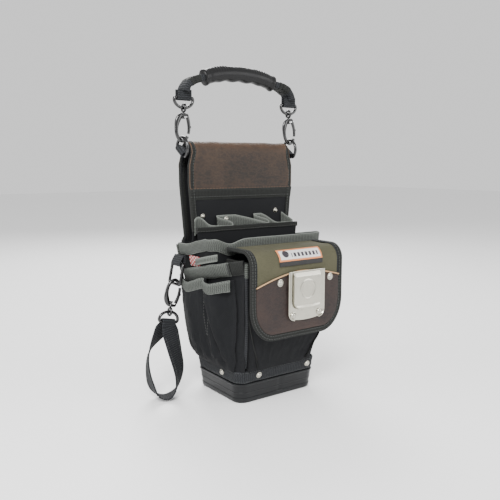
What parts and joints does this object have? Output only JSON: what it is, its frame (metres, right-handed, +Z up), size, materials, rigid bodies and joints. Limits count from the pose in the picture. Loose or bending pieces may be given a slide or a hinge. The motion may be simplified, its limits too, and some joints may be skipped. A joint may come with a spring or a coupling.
{
  "type": "electrician tool pouch",
  "caption": "Upright fabric tool pouch with a leather-capped back, snap-hook carry handle, tool loops, flapped meter pocket, side sleeves, moulded base and a tether strap.",
  "frame": {"origin": "middle of the moulded base's flat underside", "axes": "+Z up, +X to the right of someone facing the flap, +Y from the flap towards the back panel"},
  "size_m": [0.2531, 0.1662, 0.4294],
  "materials": {
    "black_fabric": "tight black basket weave with a faint blue cast",
    "binding": "charcoal edge binding, stitched",
    "grey_webbing": "mid-grey ribbed webbing with a lighter worn edge",
    "black_webbing": "black ribbed webbing",
    "leather": "distressed brown leather with copper wear at the fold",
    "flap_leather": "dark brown distressed leather",
    "olive_fabric": "olive heather weave",
    "moulded_plastic": "satin charcoal moulding",
    "rubber": "matt black moulded rubber",
    "black_metal": "glossy black coated metal",
    "nickel": "satin nickel plate",
    "label": "woven label with an orange border, plain bars and a black strip"
  },
  "bodies": {
    "bag": {"base_tray": "moulded_plastic", "base_band": "black_webbing", "base_rivet_front_left": "nickel", "base_rivet_front_right": "nickel", "base_rivet_left": "nickel", "base_rivet_right": "nickel", "left_wall": "black_fabric", "right_wall": "black_fabric", "front_wall": "black_fabric", "back_wall": "black_fabric", "rim_webbing": "grey_webbing", "back_panel": "black_fabric", "front_panel": "black_fabric", "leather_hood": "leather", "divider_panel": "black_fabric", "tool_loop_webbing": "grey_webbing", "loop_rivet_1": "nickel", "loop_rivet_2": "nickel", "loop_rivet_3": "nickel", "belt_loop": "black_webbing", "meter_pocket": "black_fabric", "pocket_closure_strip": "black_webbing", "left_upper_pocket": "black_fabric", "left_upper_webbing": "grey_webbing", "left_sleeves": "black_fabric", "left_sleeve_webbing": "grey_webbing", "right_sleeves": "black_fabric", "right_sleeve_webbing": "grey_webbing", "left_ring_tab": "black_webbing", "right_ring_tab": "black_webbing", "strap_tab": "black_webbing"},
    "flap": {"flap_panel": "olive_fabric", "flap_leather": "flap_leather", "flap_binding": "binding", "flap_closure_strip": "black_webbing", "label_patch": "label", "clip_plate": "nickel", "clip_tongue": "nickel", "clip_rivet_left": "nickel", "clip_rivet_right": "nickel", "flap_rivet_left": "nickel", "flap_rivet_right": "nickel"},
    "left_swing": {"left_hook_eye": "black_metal"},
    "right_swing": {"right_hook_eye": "black_metal"},
    "left_lower_ring": {"left_lower_ring": "black_metal"},
    "right_lower_ring": {"right_lower_ring": "black_metal"},
    "left_hook": {"left_hook_body": "black_metal"},
    "right_hook": {"right_hook_body": "black_metal"},
    "left_gate": {"left_hook_gate": "black_metal"},
    "right_gate": {"right_hook_gate": "black_metal"},
    "left_upper_ring": {"left_upper_ring": "black_metal"},
    "right_upper_ring": {"right_upper_ring": "black_metal"},
    "grip": {"handle_webbing": "black_webbing", "handle_grip": "rubber"},
    "strap_ring": {"strap_upper_ring": "black_metal"},
    "strap_hook": {"strap_hook_body": "black_metal"},
    "strap_gate": {"strap_hook_gate": "black_metal"},
    "strap_eye": {"strap_hook_eye": "black_metal"},
    "strap_lower_ring": {"strap_lower_ring": "black_metal"},
    "strap_loop": {"strap_webbing": "black_webbing"}
  },
  "joints": [
    {"name": "flap_open", "type": "hinge", "parent": "bag", "child": "flap", "pos_m": [0, -0.0385, 0.199], "axis": [-1, 0, 0], "range_deg": [0, 100]},
    {"name": "handle_swing", "type": "hinge", "parent": "bag", "child": "left_swing", "pos_m": [0, 0.0382, 0.322], "axis": [1, 0, 0], "range_deg": [-40, 105]},
    {"name": "right_handle_swing", "type": "hinge", "parent": "bag", "child": "right_swing", "pos_m": [0, 0.0382, 0.322], "axis": [1, 0, 0], "range_deg": [-40, 105]},
    {"name": "left_lower_ring_rock", "type": "hinge", "parent": "bag", "child": "left_lower_ring", "pos_m": [-0.088, 0.041, 0.31785], "axis": [0, -0.829, -0.5592], "range_deg": [-2.5, 2.5]},
    {"name": "left_hook_swivel", "type": "hinge", "parent": "left_swing", "child": "left_hook", "pos_m": [-0.0858, 0.0382, 0.36341], "axis": [0.0785, 0, 0.9969], "range_deg": [-25, 25]},
    {"name": "left_gate_open", "type": "hinge", "parent": "left_hook", "child": "left_gate", "pos_m": [-0.07974, 0.0382, 0.35892], "axis": [0, 1, 0], "range_deg": [0, 25], "stiffness_Nm_per_rad": 0.02, "springref_deg": -11.46},
    {"name": "left_upper_ring_tilt", "type": "hinge", "parent": "left_swing", "child": "left_upper_ring", "pos_m": [-0.08514, 0.0382, 0.37189], "axis": [1, 0, 0], "range_deg": [-25, 25]},
    {"name": "right_lower_ring_rock", "type": "hinge", "parent": "bag", "child": "right_lower_ring", "pos_m": [0.088, 0.041, 0.31785], "axis": [0, -0.829, -0.5592], "range_deg": [-2.5, 2.5]},
    {"name": "right_hook_swivel", "type": "hinge", "parent": "right_swing", "child": "right_hook", "pos_m": [0.0858, 0.0382, 0.36341], "axis": [-0.0785, 0, 0.9969], "range_deg": [-25, 25]},
    {"name": "right_gate_open", "type": "hinge", "parent": "right_hook", "child": "right_gate", "pos_m": [0.0925, 0.0382, 0.35993], "axis": [0, 1, 0], "range_deg": [0, 25], "stiffness_Nm_per_rad": 0.02, "springref_deg": -11.46},
    {"name": "right_upper_ring_tilt", "type": "hinge", "parent": "right_swing", "child": "right_upper_ring", "pos_m": [0.08514, 0.0382, 0.37189], "axis": [1, 0, 0], "range_deg": [-25, 25]},
    {"name": "grip_tilt", "type": "hinge", "parent": "left_upper_ring", "child": "grip", "pos_m": [0, 0.0382, 0.38489], "axis": [1, 0, 0], "range_deg": [-40, 40]},
    {"name": "strap_ring_swing", "type": "hinge", "parent": "bag", "child": "strap_ring", "pos_m": [-0.1025, 0.028, 0.1755], "axis": [0, 1, 0], "range_deg": [0, 60]},
    {"name": "strap_hook_swing", "type": "hinge", "parent": "strap_ring", "child": "strap_hook", "pos_m": [-0.10811, 0.028, 0.14909], "axis": [0, 1, 0], "range_deg": [0, 45]},
    {"name": "strap_gate_open", "type": "hinge", "parent": "strap_hook", "child": "strap_gate", "pos_m": [-0.10684, 0.028, 0.12428], "axis": [0, -1, 0], "range_deg": [0, 25], "stiffness_Nm_per_rad": 0.02, "springref_deg": -11.46},
    {"name": "strap_swivel", "type": "hinge", "parent": "strap_hook", "child": "strap_eye", "pos_m": [-0.11394, 0.028, 0.1217], "axis": [-0.2079, 0, -0.9781], "range_deg": [-15, 15]},
    {"name": "strap_lower_ring_swing", "type": "hinge", "parent": "strap_eye", "child": "strap_lower_ring", "pos_m": [-0.1157, 0.028, 0.11339], "axis": [0.9781, 0, -0.2079], "range_deg": [-20, 20]},
    {"name": "strap_loop_swing", "type": "hinge", "parent": "strap_lower_ring", "child": "strap_loop", "pos_m": [-0.11841, 0.028, 0.10067], "axis": [0.9781, 0, -0.2079], "range_deg": [-20, 20]}
  ],
  "couplings": [
    {"joint": "right_handle_swing", "follows": "handle_swing", "ratio": 1},
    {"joint": "right_upper_ring_tilt", "follows": "left_upper_ring_tilt", "ratio": 1}
  ]
}
